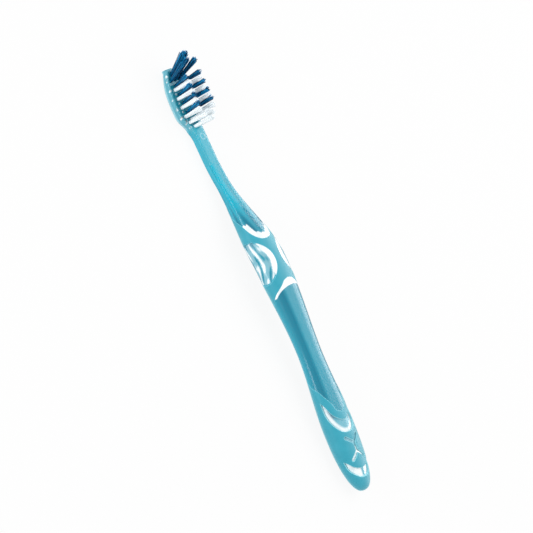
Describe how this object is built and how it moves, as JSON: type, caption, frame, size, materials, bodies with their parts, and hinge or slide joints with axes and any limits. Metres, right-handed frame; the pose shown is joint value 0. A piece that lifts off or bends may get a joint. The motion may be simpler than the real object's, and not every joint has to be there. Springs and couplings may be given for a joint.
{
  "type": "manual toothbrush",
  "caption": "Manual toothbrush: clear moulded body with a slim neck, soft overmoulded grip with windows, and an oval head of leaning bristle tufts held by metal anchors.",
  "frame": {"origin": "under the middle of the brush's box, on the surface it lies on with its back", "axes": "+X along the brush from the head to the tail, +Z the way the bristles point, +Y across it"},
  "size_m": [0.193, 0.016, 0.016],
  "materials": {
    "clear_body": "clear teal, polished",
    "soft_grip": "matt turquoise",
    "blue_bristle": "blue nylon",
    "white_bristle": "white nylon",
    "anchor_metal": "drawn flat wire"
  },
  "bodies": {
    "root": {"blue_tuft_left_1": "blue_bristle", "blue_tuft_left_2": "blue_bristle", "blue_tuft_left_3": "blue_bristle", "blue_tuft_left_4": "blue_bristle", "blue_tuft_right_1": "blue_bristle", "blue_tuft_right_2": "blue_bristle", "blue_tuft_right_3": "blue_bristle", "blue_tuft_right_4": "blue_bristle", "handle_body": "clear_body", "heel_tuft_left_1": "white_bristle", "heel_tuft_left_2": "white_bristle", "heel_tuft_left_3": "white_bristle", "heel_tuft_right_1": "white_bristle", "heel_tuft_right_2": "white_bristle", "heel_tuft_right_3": "white_bristle", "soft_grip": "soft_grip", "tip_middle_tuft": "blue_bristle", "tip_side_tuft_left": "blue_bristle", "tip_side_tuft_right": "blue_bristle", "tip_tuft_left": "blue_bristle", "tip_tuft_right": "blue_bristle", "tuft_anchors": "anchor_metal", "white_tuft_left_1": "white_bristle", "white_tuft_left_2": "white_bristle", "white_tuft_left_3": "white_bristle", "white_tuft_left_4": "white_bristle", "white_tuft_right_1": "white_bristle", "white_tuft_right_2": "white_bristle", "white_tuft_right_3": "white_bristle", "white_tuft_right_4": "white_bristle"}
  },
  "joints": []
}
